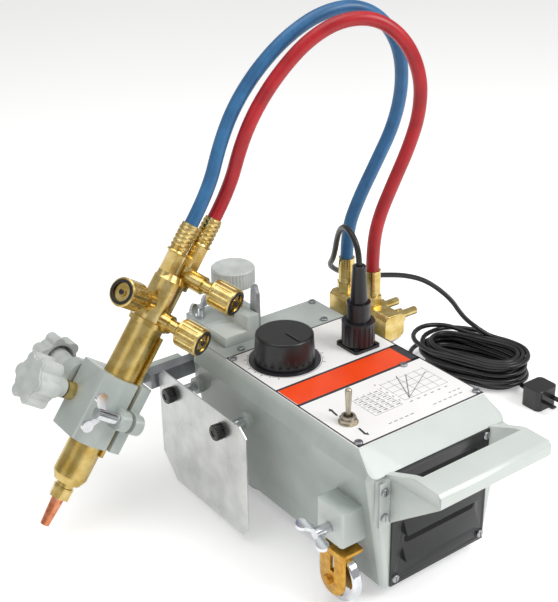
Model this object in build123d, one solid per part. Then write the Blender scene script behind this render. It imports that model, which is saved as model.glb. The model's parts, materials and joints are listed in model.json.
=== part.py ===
"""Motor-driven oxy-fuel torch carriage.

All sizes are millimetres. The model is laid out in the carriage's own layout frame: X across (the torch
hangs on the -X side), Y along the travel away from the carrying handle, Z up from the floor. Y = 0 is the
near edge of the control panel and X = 0 its middle. Every node is moved by ORIGIN when it is written, which
puts the finished part's origin under the middle of its footprint.
"""
from build123d import *
import os
from math import cos, pi, radians, sin, tan

os.makedirs("parts", exist_ok=True)

# --- where the finished part's origin lies in the layout frame ---
ORIGIN = (-59.803, 120.75)

# --- carriage body ---
PANEL_TOP = 145.0           # control panel above the floor
PANEL_HALF = 70.0           # half the panel's width
PANEL_LENGTH = 188.0
SHEET = 1.5                 # panel and deck sheet
SHOULDER_HALF = 77.0        # widest part of the casing
SHOULDER_Z = 125.0
FOOT_HALF = 59.5            # casing's half width at its lower edge
FOOT_Z = 13.0
NEAR_END = -22.5
FAR_END = 238.0
WALL = 4.0
SHELL_TOP = PANEL_TOP - SHEET
NOSE_Z = 127.0              # lower edge of the sloping nose

# --- running gear ---
WHEEL_R = 22.0
WHEEL_WIDTH = 12.0
WHEEL_X = 46.0              # middle of each wheel
AXLE_R = 4.0
FRONT_AXLE_Y = 45.0
REAR_AXLE_Y = 180.0
MODULE = 1.0
DRIVE_TEETH = 32
MOTOR_TEETH = 14
MESH_GAP = 0.3              # extra centre distance, so that simple teeth never rub

# --- guide wheel on its lug ---
LUG_LOW = (-93.0, -8.0, 61.0)
LUG_HIGH = (-66.0, 25.0, 94.0)
GUIDE = (-82.5, 8.5)        # post's axis
GUIDE_R = 24.0
GUIDE_Y = 6.0
GUIDE_X = -83.0
POST_R = 5.0

# --- heat shield ---
SHIELD_X = -104.0
SHIELD_Z = 101.5
SHIELD_POSTS = (147.0, 228.0)
BOSS_X = 80.0               # cast bosses under the posts reach this far from the middle

# --- cross feed ---
BAR = 15.0                  # square bar
BAR_Y = 262.0
BAR_Z = 104.5
BAR_END = -112.0
BAR_TAIL = 110.0
CROSS_TEETH = 14
CROSS_X = -19.0
BAR_FACE = BAR_Y - BAR / 2
CROSS_Y = BAR_FACE + MODULE - CROSS_TEETH * MODULE / 2 - MESH_GAP

# --- torch ---
TILT = 35.8                 # torch leans this far from upright
TIP = (-244.2, 230.0, 15.6)
BARREL_R = 16.0
BARREL_FOOT = 44.0
BARREL_TOP = 203.0
CLAMP_LOW = 86.0
CLAMP_HIGH = 151.0
CLAMP_MID = (CLAMP_LOW + CLAMP_HIGH) / 2
RACK_PITCH_LINE = 17.5
LIFT_TEETH = 10
LIFT_V = RACK_PITCH_LINE + LIFT_TEETH * MODULE / 2 + MESH_GAP
PIVOT_U = -15.0
PIVOT_W = 131.0
CLAMP_BACK = 31.0
TORCH = Plane(
    origin=TIP,
    x_dir=(cos(radians(TILT)), 0, -sin(radians(TILT))),
    z_dir=(sin(radians(TILT)), 0, cos(radians(TILT))),
)
OXY_U = -7.0                # oxygen inlet across the torch
FUEL_U = 13.0               # fuel inlet across the torch
OXY_TOP = 301.0
FUEL_TOP = 315.0

# --- gas manifold ---
MANIFOLD_X = 92.0
FUEL_Y = 173.0
OXY_Y = 212.0
UNION_FOOT = 158.0
UNION_TOP = 194.0
TAIL_R = 4.0
TAIL_LENGTH = 18.0
TAIL_Z = 149.0
TAIL_Y = (150.0, 176.0)

# --- hoses and mains cable ---
HOSE_R = 6.4
CABLE_R = 2.75
COIL = (280.0, 210.0)
COIL_TURN = -71.0
COIL_REACH = 32.0
COIL_OUTER = 35.0
COIL_INNER = 14.0
COIL_HEIGHT = 37.0
BEND_SHARE = 0.45

# --- running clearances ---
RUN = 0.05                  # shaft in its bush, on the radius
SCREW_R = 2.0


def block(low, high):
    """A box between two opposite corners."""
    size = [h - l for l, h in zip(low, high)]
    return Pos(*low) * Box(*size, align=(Align.MIN, Align.MIN, Align.MIN))


def rod(start, direction, radius, length, bore=0.0):
    """A round bar from a point along a direction, or a tube if it has a bore."""
    plane = Plane(origin=start, z_dir=direction)
    foot = (Align.CENTER, Align.CENTER, Align.MIN)
    shape = plane * Cylinder(radius, length, align=foot)
    if bore:
        shape -= plane * Cylinder(bore, length, align=foot)
    return shape


def cone(start, direction, foot_radius, top_radius, length):
    """A truncated cone from a point along a direction."""
    plane = Plane(origin=start, z_dir=direction)
    return plane * Cone(foot_radius, top_radius, length, align=(Align.CENTER, Align.CENTER, Align.MIN))


def prism(plane, points, thickness):
    """A straight-sided outline drawn on a plane and raised along its normal."""
    return extrude(plane * make_face(Polyline(*points, close=True)), thickness, dir=plane.z_dir)


def hexagon(start, direction, across_flats, length, bore=0.0):
    """A hexagonal nut or bar."""
    plane = Plane(origin=start, z_dir=direction)
    shape = extrude(plane * RegularPolygon(across_flats / 2, 6, major_radius=False), length)
    if bore:
        shape -= plane * Cylinder(bore, length, align=(Align.CENTER, Align.CENTER, Align.MIN))
    return shape


def gear(plane, teeth, width, phase=0.0):
    """A spur gear with straight-flanked teeth, a little thin so that a pair runs free."""
    pitch_r = teeth * MODULE / 2
    root_r, tip_r = pitch_r - 1.25 * MODULE, pitch_r + MODULE
    step = 2 * pi / teeth
    points = []
    for n in range(teeth):
        middle = n * step + phase
        for radius, half in ((root_r, 0.32), (tip_r, 0.11)):
            points.append((radius * cos(middle - half * step), radius * sin(middle - half * step)))
        for radius, half in ((tip_r, 0.11), (root_r, 0.32)):
            points.append((radius * cos(middle + half * step), radius * sin(middle + half * step)))
    return prism(plane, points, width)


def rack_edge(start, end, height, first_tooth):
    """Points of a toothed edge from start to end: tips at height, roots 2.25 modules below it."""
    pitch = pi * MODULE
    points = []
    middle = first_tooth
    while middle + 0.5 * pitch < end:
        if middle - 0.5 * pitch > start:
            for offset, level in ((-0.32, -2.25), (-0.11, 0), (0.11, 0), (0.32, -2.25)):
                points.append((middle + offset * pitch, height + level * MODULE))
        middle += pitch
    return points


def pan_screw(head, inward, length=8.0, head_r=3.6):
    """A pan-head screw: the head stands on the surface at a point, the shank goes inward."""
    out = Vector(*inward) * -1
    shape = rod(head, inward, SCREW_R, length)
    dome = rod(head, out, head_r, 2.2)
    dome = fillet(dome.edges().sort_by_distance(Vector(*head) + out * 2.2)[0], 0.9)
    slot = Plane(origin=Vector(*head) + out * 1.3, z_dir=out) * Box(
        head_r * 1.5, 0.8, 2, align=(Align.CENTER, Align.CENTER, Align.MIN)
    )
    return shape + dome - slot


def screw_hole(head, inward, length=8.2):
    """The hole that a pan-head screw goes into, started outside the surface."""
    start = Vector(*head) - Vector(*inward) * 1.0
    return rod(start, inward, SCREW_R + RUN, length + 1.0)


def wing(plane, reach, rise, thickness):
    """One rounded wing of a wing screw, drawn on a plane with the screw's axis along its Y."""
    stem = make_face(Polyline((2, 0), (2, 7), (reach - 4, rise + 3), (reach - 2, rise - 4), close=True))
    tip = Pos(reach - 3, rise - 1) * Circle(5.5)
    return extrude(plane * (stem + tip), thickness / 2, both=True)


def wing_screw(start, outward, across, hub_r, shank_r, shank_length, hub_length=11.0, scale=1.0):
    """A wing screw whose shank goes inward from a point and whose hub and wings stand outward."""
    out = Vector(*outward)
    side = Vector(*across)
    shape = rod(start, out * -1, shank_r, shank_length) + rod(start, out, hub_r, hub_length)
    for sign in (1, -1):
        foot = Vector(*start) + out * (hub_length - 8 * scale)
        plane = Plane(origin=foot, x_dir=side * sign, z_dir=(side * sign).cross(out))
        shape += wing(plane, 15 * scale, 11 * scale, 3 * scale)
    return shape


def star_knob(plane, outer, thickness, lobes, hub_r, hub_length, bore, hollow=0.0):
    """A moulded star grip on a plane: head above the hub, both along the plane's normal."""
    foot = (Align.CENTER, Align.CENTER, Align.MIN)
    outline = Circle(outer * 0.8)
    edge = Circle(outer * 0.8 - 1.4)
    for n in range(lobes):
        angle = 2 * pi * n / lobes
        place = Pos(outer * 0.72 * cos(angle), outer * 0.72 * sin(angle))
        outline += place * Circle(outer * 0.28)
        edge += place * Circle(outer * 0.28 - 1.4)
    shape = extrude(Pos(0, 0, hub_length) * outline, thickness - 1.5)
    shape += extrude(Pos(0, 0, hub_length + thickness - 1.5) * edge, 1.5)
    shape += Cone(hub_r, hub_r * 1.25, hub_length, align=foot)
    if hollow:
        shape -= Pos(0, 0, hub_length) * (
            Cylinder(outer * 0.66, hollow, align=foot) - Cylinder(hub_r * 1.25, hollow, align=foot))
    shape -= Cylinder(bore, hub_length + thickness * 0.6, align=foot)
    return plane * shape


def fluted_knob(plane, radius, height, flutes, bore, depth):
    """A round gas-valve knob with a fluted side and a recessed face."""
    foot = (Align.CENTER, Align.CENTER, Align.MIN)
    shape = Cylinder(radius, height, align=foot)
    shape = chamfer(shape.edges(), 1.0)
    for n in range(flutes):
        angle = 2 * pi * n / flutes
        shape -= Pos((radius + 0.6) * cos(angle), (radius + 0.6) * sin(angle), 3) * Cylinder(
            1.5, height - 6, align=foot)
    shape -= Pos(0, 0, height - 1.5) * Cylinder(radius - 3.2, 2, align=foot)
    shape += Pos(0, 0, height - 1.5) * Cylinder(radius * 0.3, 1.5, align=foot)
    shape -= Cylinder(bore, depth, align=foot)
    return plane * shape


def cord_tube(name, points, radius):
    """A cord's tube: straight runs joined by tangent arcs as large as the two runs allow."""
    vectors = [Vector(*p) for p in points]
    radii = []
    for before, corner, after in zip(vectors, vectors[1:], vectors[2:]):
        turn = (corner - before).get_angle(after - corner)
        run = min((corner - before).length, (after - corner).length)
        radii.append(BEND_SHARE * run / tan(radians(turn) / 2))
    path = FilletPolyline(*vectors, radius=radii)
    start = Plane(origin=vectors[0], z_dir=vectors[1] - vectors[0])
    tube = sweep(start * Circle(radius), path=path)
    print(f"{name}: length {path.length:.0f}, tightest radius {min(radii):.0f}, "
          f"volume ratio {tube.volume / (path.length * pi * radius ** 2):.3f}")
    return tube


def save(name, *solids):
    """Write one node, moved to the part's own origin."""
    shift = Pos(-ORIGIN[0], -ORIGIN[1], 0)
    moved = [shift * solid for shape in solids for solid in shape.solids()]
    shape = moved[0] if len(moved) == 1 else Compound(children=moved)
    export_step(shape, f"parts/{name}.step")


def wall_x(z):
    """Half width of the casing's tapered side at a height."""
    return FOOT_HALF + (SHOULDER_HALF - FOOT_HALF) * (z - FOOT_Z) / (SHOULDER_Z - FOOT_Z)


def casing_solid(inset):
    """The casing's outline as a solid, drawn in by an inset on every side but the bottom."""
    top, shoulder, foot = PANEL_HALF - inset, SHOULDER_HALF - inset * 1.1, FOOT_HALF - inset
    near, far = NEAR_END + inset, FAR_END - inset
    outline = [(-foot, FOOT_Z), (-shoulder, SHOULDER_Z - inset * 0.2), (-top, SHELL_TOP - inset),
               (top, SHELL_TOP - inset), (shoulder, SHOULDER_Z - inset * 0.2), (foot, FOOT_Z)]
    plane = Plane(origin=(0, near, 0), x_dir=(1, 0, 0), z_dir=(0, -1, 0))
    solid = extrude(plane * make_face(Polyline(*outline, close=True)), far - near, dir=(0, 1, 0))
    side = Plane(origin=(-100, 0, 0), x_dir=(0, 1, 0), z_dir=(1, 0, 0))
    nose = [(near - 1, NOSE_Z - inset), (near, NOSE_Z - inset), (inset * 0.4, SHELL_TOP - inset),
            (inset * 0.4, SHELL_TOP + 5), (near - 1, SHELL_TOP + 5)]
    return solid - prism(side, nose, 200)


def screws_for(shape, places, inward, length=8.0):
    """Drill a piece for its screws."""
    for place in places:
        shape -= screw_hole(place, inward, length + 0.2)
    return shape


# ---------------------------------------------------------------- casing
PANEL_SCREWS = [(x, y, PANEL_TOP) for x in (-66, 66) for y in (5, 182)] + [(48, 78, PANEL_TOP)]
DECK_SCREWS = [(x, y, PANEL_TOP) for x in (-64, 64) for y in (232,)] + [(x, 194, PANEL_TOP) for x in (-49, 49)]
VENT_Y = NEAR_END - 2.0
VENT_SCREWS = [(x, VENT_Y, z) for x in (-49.3, 49.3) for z in (21.3, 122.2)]
HANDLE_SCREWS = [(x, NEAR_END - 6, z) for x in (-67, 67) for z in (93, 117)]
HOUSING_SCREWS = [(x, FAR_END + 5, z) for x in (-64, 12) for z in (92, 132)]
BASE_SCREWS = [(x, y, FOOT_Z) for x in (-49, 49) for y in (-10, 110, 225)]
BRACKET_SCREWS = [(82.0, y, 108.0) for y in (152, 208)]

LOUVRES = 3
LOUVRE_Z = 42.0
LOUVRE_STEP = 27.0
LOUVRE_HALF = 40.0


def build_shell():
    """The cast casing with its openings, the guide wheel's lug and the screw bosses."""
    shell = casing_solid(0)
    upright = [e for e in shell.edges().filter_by(lambda e: abs(e.tangent_at(0.5).Z) > 0.9)]
    shell = fillet(upright, 7.0)
    shell -= casing_solid(WALL)
    lug = fillet(block(LUG_LOW, LUG_HIGH).edges().filter_by(Axis.Z), 2.5)
    shell += lug - casing_solid(1.0)
    shell -= block((-60.5, 12, SHELL_TOP - 6), (60.5, 174, SHELL_TOP + 1))
    shell -= block((-48, NEAR_END - 1, 26), (48, NEAR_END + WALL + 1, 116))
    for x, y, z in BASE_SCREWS:
        boss = block((min(x, x * 1.4) - 6, y - 6, FOOT_Z + 2.5), (max(x, x * 1.4) + 6, y + 6, FOOT_Z + 16))
        shell += boss & casing_solid(1.0)
    shell -= rod((GUIDE[0], GUIDE[1], LUG_LOW[2] - 1), (0, 0, 1), POST_R + RUN, 32)
    shell -= rod((LUG_LOW[0] - 1, GUIDE[1], 74), (1, 0, 0), 2.5 + RUN, 8)
    shell = screws_for(shell, PANEL_SCREWS[:4] + DECK_SCREWS, (0, 0, -1))
    shell = screws_for(shell, VENT_SCREWS + HANDLE_SCREWS, (0, 1, 0), 12)
    shell = screws_for(shell, HOUSING_SCREWS, (0, -1, 0), 12)
    shell = screws_for(shell, BASE_SCREWS, (0, 0, 1), 10)
    for y in SHIELD_POSTS:
        shell += rod((-71, y, SHIELD_Z), (-1, 0, 0), 8, BOSS_X - 71)
        shell -= rod((-60, y, SHIELD_Z), (-1, 0, 0), 3 + RUN, 30)
    for x, y, z in BRACKET_SCREWS:
        shell -= rod((x + 1, y, z), (-1, 0, 0), SCREW_R + RUN, 20)
    return shell


save("body_shell", build_shell())


def build_base():
    """The floor plate with wheel slots and the four axle blocks."""
    plate = block((-54.8, NEAR_END + 4.3, FOOT_Z), (54.8, FAR_END - 4.3, FOOT_Z + 2.5))
    for y in (FRONT_AXLE_Y, REAR_AXLE_Y):
        for side in (-1, 1):
            slot = Pos(side * WHEEL_X, y, FOOT_Z) * Box(WHEEL_WIDTH + 4, 2 * WHEEL_R + 2, 20)
            plate -= slot
            support = block((side * 33 - 4, y - 11, FOOT_Z + 2.5), (side * 33 + 4, y + 11, FOOT_Z + 20.5))
            plate += support - rod((side * 33 - 5, y, WHEEL_R), (1, 0, 0), AXLE_R + 2, 10)
    plate -= block((6, REAR_AXLE_Y - 18, 0), (20, REAR_AXLE_Y + 18, 20))
    return screws_for(plate, BASE_SCREWS, (0, 0, 1))


save("base_plate", build_base())

panel = block((-PANEL_HALF, 0, SHELL_TOP), (PANEL_HALF, PANEL_LENGTH, PANEL_TOP))
KNOB = (-29.0, 153.0)
TOGGLE = (-52.0, 35.0)
SOCKET = (41.0, 133.0)
for (x, y), radius in ((KNOB, 5.2), (TOGGLE, 6.0), (SOCKET, 11.0)):
    panel -= rod((x, y, SHELL_TOP - 1), (0, 0, 1), radius + RUN, 4)
save("top_panel", screws_for(panel, PANEL_SCREWS, (0, 0, -1)))

deck = block((-PANEL_HALF, PANEL_LENGTH + 0.6, SHELL_TOP), (PANEL_HALF, FAR_END - 0.5, PANEL_TOP))
save("deck_cover", screws_for(deck, DECK_SCREWS, (0, 0, -1)))


def build_vent():
    """The louvred end cover: three pressed hoods over long slots."""
    cover = block((-53.9, VENT_Y, FOOT_Z + 1), (53.9, NEAR_END, NOSE_Z))
    for n in range(LOUVRES):
        z = LOUVRE_Z + n * LOUVRE_STEP
        cover -= block((-LOUVRE_HALF, VENT_Y - 1, z - 4), (LOUVRE_HALF, NEAR_END + 1, z + 4))
        side = Plane(origin=(-LOUVRE_HALF - 2, 0, 0), x_dir=(0, 1, 0), z_dir=(1, 0, 0))
        outer = prism(side, [(VENT_Y, z + 8), (VENT_Y - 6, z - 5), (VENT_Y, z - 5)], 2 * LOUVRE_HALF + 4)
        side_in = Plane(origin=(-LOUVRE_HALF, 0, 0), x_dir=(0, 1, 0), z_dir=(1, 0, 0))
        inner = prism(side_in, [(VENT_Y + 0.5, z + 5.5), (VENT_Y - 4.4, z - 6), (VENT_Y + 0.5, z - 6)],
                      2 * LOUVRE_HALF)
        cover += outer - inner
        cover -= inner
    return screws_for(cover, VENT_SCREWS, (0, 1, 0))


save("vent_cover", build_vent())


def build_handle():
    """The cast carrying handle: a wide grip on two cheek plates with screwed roots."""
    side = Plane(origin=(-61, 0, 0), x_dir=(0, 1, 0), z_dir=(1, 0, 0))
    root = NEAR_END
    cheek = [(root, 128), (-50, 139.5), (-57, 141.5), (-81, 141.5),
             (-84.5, 138), (-84.5, 129), (-30, 86), (root, 82)]
    handle = prism(side, cheek, 122)
    grip_under = [(root + 1, 60), (root + 1, 150), (-57, 150), (-57, 133), (-60, 129.5), (-90, 126), (-90, 60)]
    inner = Plane(origin=(-54.4, 0, 0), x_dir=(0, 1, 0), z_dir=(1, 0, 0))
    handle -= prism(inner, grip_under, 108.8)
    long_edges = handle.edges().filter_by(Axis.X).filter_by(lambda e: e.length > 120)
    long_edges = [e for e in long_edges if e.center().Y < -55 and e.center().Z > 120]
    handle = fillet(long_edges, 1.8)
    for s in (-1, 1):
        flange = block((min(s * 54.4, s * 72), root - 6, 84), (max(s * 54.4, s * 72), root, 126))
        handle += flange
    return screws_for(handle, HANDLE_SCREWS, (0, 1, 0))


save("end_handle", build_handle())

# ---------------------------------------------------------------- running gear
ACROSS = Plane(origin=(0, 0, 0), x_dir=(0, 1, 0), z_dir=(1, 0, 0))


def wheelset(y):
    """An axle with its two wheels as separate solids."""
    solids = [rod((-WHEEL_X - 8, y, WHEEL_R), (1, 0, 0), AXLE_R, 2 * WHEEL_X + 16)]
    for side in (-1, 1):
        start = side * WHEEL_X - WHEEL_WIDTH / 2
        wheel = rod((start, y, WHEEL_R), (1, 0, 0), WHEEL_R, WHEEL_WIDTH)
        wheel = chamfer(wheel.edges(), 1.0)
        wheel -= rod((start - 1, y, WHEEL_R), (1, 0, 0), AXLE_R, WHEEL_WIDTH + 2)
        for face in (start - 0.1, start + WHEEL_WIDTH - 2.4):
            wheel -= rod((face, y, WHEEL_R), (1, 0, 0), WHEEL_R - 5, 2.5, AXLE_R + 4)
        solids.append(wheel)
    return solids


save("front_wheelset", *wheelset(FRONT_AXLE_Y))
save("rear_wheelset", *wheelset(REAR_AXLE_Y))

GEAR_X = 10.0
GEAR_WIDTH = 6.0
CENTRE = (DRIVE_TEETH + MOTOR_TEETH) * MODULE / 2 + MESH_GAP
MOTOR_DROP = 16.1
MOTOR_Y = REAR_AXLE_Y - (CENTRE ** 2 - MOTOR_DROP ** 2) ** 0.5
MOTOR_Z = WHEEL_R + MOTOR_DROP
gear_plane = Plane(origin=(GEAR_X, REAR_AXLE_Y, WHEEL_R), x_dir=(0, MOTOR_Y - REAR_AXLE_Y, MOTOR_DROP),
                   z_dir=(1, 0, 0))
drive_gear = gear(gear_plane, DRIVE_TEETH, GEAR_WIDTH)
drive_gear -= rod((GEAR_X - 1, REAR_AXLE_Y, WHEEL_R), (1, 0, 0), AXLE_R, GEAR_WIDTH + 2)
save("drive_gear", drive_gear)

MOTOR_R = 17.0
motor = rod((-28, MOTOR_Y, MOTOR_Z), (1, 0, 0), MOTOR_R, 33)
motor = fillet(motor.edges(), 1.5)
motor += rod((5, MOTOR_Y, MOTOR_Z), (1, 0, 0), 7, 2)
motor += block((-26, MOTOR_Y - 12, FOOT_Z + 2.5), (-4, MOTOR_Y + 8, MOTOR_Z - 10))
motor -= rod((-10, MOTOR_Y, MOTOR_Z), (1, 0, 0), 3 + RUN, 20)
save("drive_motor", motor)
pinion_plane = Plane(origin=(GEAR_X, MOTOR_Y, MOTOR_Z), x_dir=(0, REAR_AXLE_Y - MOTOR_Y, -MOTOR_DROP),
                     z_dir=(1, 0, 0))
pinion = gear(pinion_plane, MOTOR_TEETH, GEAR_WIDTH, pi / MOTOR_TEETH)
pinion += rod((-8, MOTOR_Y, MOTOR_Z), (1, 0, 0), 3, 24)
save("motor_pinion", pinion)

# ---------------------------------------------------------------- guide wheel
FORK_TOP = 55.5
post = rod((GUIDE[0], GUIDE[1], FORK_TOP - 5), (0, 0, 1), POST_R, 38)
post += rod((GUIDE[0], GUIDE[1], FORK_TOP - 6.5), (0, 0, 1), 8, 3.2)
post += rod((GUIDE[0], GUIDE[1], FORK_TOP + 0.3), (0, 0, 1), 8, 1.5)
save("guide_post", post)
fork = block((-95, -12, FORK_TOP - 3), (-73, 18, FORK_TOP))
fork = fillet(fork.edges().filter_by(Axis.Z), 2.0)
leg = block((-95, -12, 11), (-92, 18, FORK_TOP - 1))
fork += fillet(leg.edges().filter_by(Axis.X).sort_by(Axis.Z)[:2], 14.5)
fork -= block((-96, -0.5, 34), (-91, 4.5, 50))
fork -= rod((GUIDE[0], GUIDE[1], 50), (0, 0, 1), POST_R + RUN, 12)
fork += rod((-97, GUIDE_Y, GUIDE_R), (1, 0, 0), 3, 20.5)
fork += hexagon((-98.5, GUIDE_Y, GUIDE_R), (1, 0, 0), 8, 3.5)
fork += rod((-77.6, GUIDE_Y, GUIDE_R), (1, 0, 0), 5, 1.6)
save("guide_fork", fork)
guide = rod((GUIDE_X - 5, GUIDE_Y, GUIDE_R), (1, 0, 0), GUIDE_R, 10)
guide = fillet(guide.edges(), 2.2)
guide -= rod((GUIDE_X - 6, GUIDE_Y, GUIDE_R), (1, 0, 0), 3 + RUN, 12)
for face in (GUIDE_X - 5.1, GUIDE_X + 3.1):
    guide -= rod((face, GUIDE_Y, GUIDE_R), (1, 0, 0), GUIDE_R - 5, 2.0, 7)
save("guide_wheel", guide)
save("guide_wing_screw", wing_screw((-93.4, GUIDE[1], 74), (-1, 0, 0), (0, 0.983, 0.184), 4.5, 2.5, 5, 15, 1.1))

# ---------------------------------------------------------------- controls on the panel
DIAL_R = 33.0
save("dial_ring", rod((KNOB[0], KNOB[1], PANEL_TOP), (0, 0, 1), DIAL_R, 1.0, 8.0))
knob = cone((KNOB[0], KNOB[1], PANEL_TOP + 2), (0, 0, 1), 28, 26.5, 26)
knob = fillet(knob.edges().sort_by(Axis.Z)[-1], 2.5)
for n in range(24):
    angle = 2 * pi * n / 24
    flute = (KNOB[0] + 28.6 * cos(angle), KNOB[1] + 28.6 * sin(angle), PANEL_TOP + 5)
    knob -= cone(flute, (0, 0, 1), 1.6, 0.9, 19)
knob -= rod((KNOB[0], KNOB[1], PANEL_TOP + 1), (0, 0, 1), 24, 5)
knob += block((KNOB[0] - 1, KNOB[1] - 23, PANEL_TOP + 27.5), (KNOB[0] + 1, KNOB[1] - 3, PANEL_TOP + 28.8))
knob += rod((KNOB[0], KNOB[1], PANEL_TOP - 12), (0, 0, 1), 3, 20)
save("speed_knob", knob)

board = block((-60, 60, 116), (60, 122, 117.6))
for x in (-50, 50):
    for y in (66, 116):
        board += rod((x, y, 117.6), (0, 0, 1), 3, SHELL_TOP - 117.6)
board += block((-40, 70, 117.6), (-12, 100, 138)) + block((0, 80, 117.6), (24, 92, 128))
board += rod((36, 78, 117.6), (0, 0, 1), 7, 16)
pot = rod((KNOB[0], KNOB[1], 128), (0, 0, 1), 12, SHELL_TOP - 128 - 0.1)
pot += rod((KNOB[0], KNOB[1], 140), (0, 0, 1), 5.2, PANEL_TOP + 4.5 - 140)
pot -= rod((KNOB[0], KNOB[1], 130), (0, 0, 1), 3 + RUN, 30)
save("control_board", board, pot)

tx, ty = TOGGLE
switch = block((tx - 7, ty - 14, 122), (tx + 7, ty + 14, SHELL_TOP))
switch += rod((tx, ty, SHELL_TOP - 1), (0, 0, 1), 6, PANEL_TOP + 6.5 - SHELL_TOP + 1)
switch -= rod((tx, ty, 140), (0, 0, 1), 4.2, 20)
washer = rod((tx, ty, PANEL_TOP), (0, 0, 1), 8.5, 1.0, 6 + RUN)
nut = hexagon((tx, ty, PANEL_TOP + 1), (0, 0, 1), 14, 3.0, 6 + RUN)
save("toggle_switch", switch, washer, nut)
LEVER_Z = PANEL_TOP + 2.0
lever = Pos(tx, ty, LEVER_Z) * Sphere(2.8) + cone((tx, ty, LEVER_Z), (0, 0, 1), 1.8, 3.0, 27)
lever += Pos(tx, ty, LEVER_Z + 27) * Sphere(3.0)
save("toggle_lever", lever)

sx, sy = SOCKET
flange = Pos(sx, sy, PANEL_TOP) * Box(30, 30, 3, align=(Align.CENTER, Align.CENTER, Align.MIN))
flange = fillet(flange.edges().filter_by(Axis.Z), 3)
flange += rod((sx, sy, PANEL_TOP - 18), (0, 0, 1), 11, 30)
for dx in (-11.5, 11.5):
    for dy in (-11.5, 11.5):
        flange += rod((sx + dx, sy + dy, PANEL_TOP + 3), (0, 0, 1), 2.2, 1.2)
save("connector_socket", flange)
ring = rod((sx, sy, PANEL_TOP + 4.5), (0, 0, 1), 15.5, 22, 11.4)
for n in range(20):
    angle = 2 * pi * n / 20
    ring -= rod((sx + 15.9 * cos(angle), sy + 15.9 * sin(angle), PANEL_TOP + 6), (0, 0, 1), 1.0, 18)
save("connector_ring", ring)
boot = rod((sx, sy, PANEL_TOP + 12.4), (0, 0, 1), 11.0, 33)
boot += cone((sx, sy, PANEL_TOP + 45.4), (0, 0, 1), 8.2, 6.2, 36)
boot = chamfer(boot.edges().sort_by(Axis.Z)[-1], 0.8)
save("connector_boot", boot)

# ---------------------------------------------------------------- heat shield
posts, thumbs = [], []
for y in SHIELD_POSTS:
    posts.append(rod((-BOSS_X, y, SHIELD_Z), (-1, 0, 0), 4.5, -SHIELD_X - BOSS_X)
                 + rod((-BOSS_X + 13, y, SHIELD_Z), (-1, 0, 0), 3, 14)
                 - rod((SHIELD_X - 1, y, SHIELD_Z), (1, 0, 0), 2 + RUN, 14))
    thumb = rod((SHIELD_X - 1.2, y, SHIELD_Z), (-1, 0, 0), 7.5, 8)
    for n in range(16):
        angle = 2 * pi * n / 16
        thumb -= rod((SHIELD_X, y + 7.9 * cos(angle), SHIELD_Z + 7.9 * sin(angle)), (-1, 0, 0), 1.0, 12)
    thumbs.append(thumb + rod((SHIELD_X - 1.2, y, SHIELD_Z), (1, 0, 0), 2, 12))
save("shield_posts", *posts)
save("shield_thumbscrews", *thumbs)
shield_plane = Plane(origin=(SHIELD_X, 0, 0), x_dir=(0, 1, 0), z_dir=(1, 0, 0))
outline = [(117, 120), (107, 112), (108, 17), (117, 6.5), (228, 5), (251, 28), (251, 113), (243, 120)]
shield = prism(shield_plane, outline, -1.2)
for y in SHIELD_POSTS:
    shield -= rod((SHIELD_X - 3, y, SHIELD_Z), (1, 0, 0), 2.3, 6)
save("heat_shield", shield)

# ---------------------------------------------------------------- gas manifold
end_on = Plane(origin=(0, 145, 0), x_dir=(1, 0, 0), z_dir=(0, -1, 0))
bracket = prism(end_on, [(wall_x(96), 96), (SHOULDER_HALF, 125), (74.4, 132), (104, 132), (104, 127),
                         (82, 122), (82, 96)], -70)
for x, y, z in BRACKET_SCREWS:
    bracket -= rod((x + 1, y, z), (-1, 0, 0), SCREW_R + RUN, 20)
save("manifold_bracket", bracket)

manifold = block((80, 139, 132), (104, 224, UNION_FOOT))
manifold = chamfer(manifold.edges().filter_by(Axis.Y), 4)
for y in TAIL_Y:
    manifold += hexagon((104, y, TAIL_Z), (1, 0, 0), 13, 6)
    manifold += rod((110, y, TAIL_Z), (1, 0, 0), TAIL_R, TAIL_LENGTH)
    manifold -= rod((100, y, TAIL_Z), (1, 0, 0), 2, 40)
save("gas_manifold", manifold)
unions = []
for y in (FUEL_Y, OXY_Y):
    unions.append(hexagon((MANIFOLD_X, y, UNION_FOOT), (0, 0, 1), 17, 10))
    unions.append(rod((MANIFOLD_X, y, UNION_FOOT + 10), (0, 0, 1), 8, UNION_TOP - UNION_FOOT - 10))
save("manifold_unions", *unions)

# ---------------------------------------------------------------- cross feed
housing = block((-58, FAR_END + 0.3, 93), (4, 276, 153))
housing = fillet(housing.edges().filter_by(Axis.Z), 3)
housing += block((-70, FAR_END, 86), (18, FAR_END + 5, 138))
housing += block((-59, 204, PANEL_TOP), (-33, FAR_END + 2, PANEL_TOP + 10))
housing += block((-34, 204, PANEL_TOP), (-21, 226, PANEL_TOP + 24))
housing -= Pos(-30, BAR_Y, BAR_Z) * Box(120, BAR + 2 * RUN, BAR + 2 * RUN)
housing -= rod((CROSS_X, CROSS_Y, BAR_Z - BAR / 2 - 1), (0, 0, 1), 8.6, BAR + 2)
housing -= rod((CROSS_X, CROSS_Y, 100), (0, 0, 1), 6, 60)
housing -= rod((-50, BAR_Y, BAR_Z + BAR / 2 - 1), (0, 0, 1), 3 + RUN, 60)
housing -= rod((-25, 213, 158), (1, 0, 0), 3 + RUN, 8)
save("crossfeed_housing", screws_for(housing, HOUSING_SCREWS, (0, -1, 0)))
bush = rod((CROSS_X, CROSS_Y, BAR_Z + BAR / 2 + 1.5), (0, 0, 1), 6, 153 - BAR_Z - BAR / 2 - 1.5, 4.5 + RUN)
bush += rod((CROSS_X, CROSS_Y, 153), (0, 0, 1), 9, 9, 4.5 + RUN)
bushes = [bush]
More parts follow.
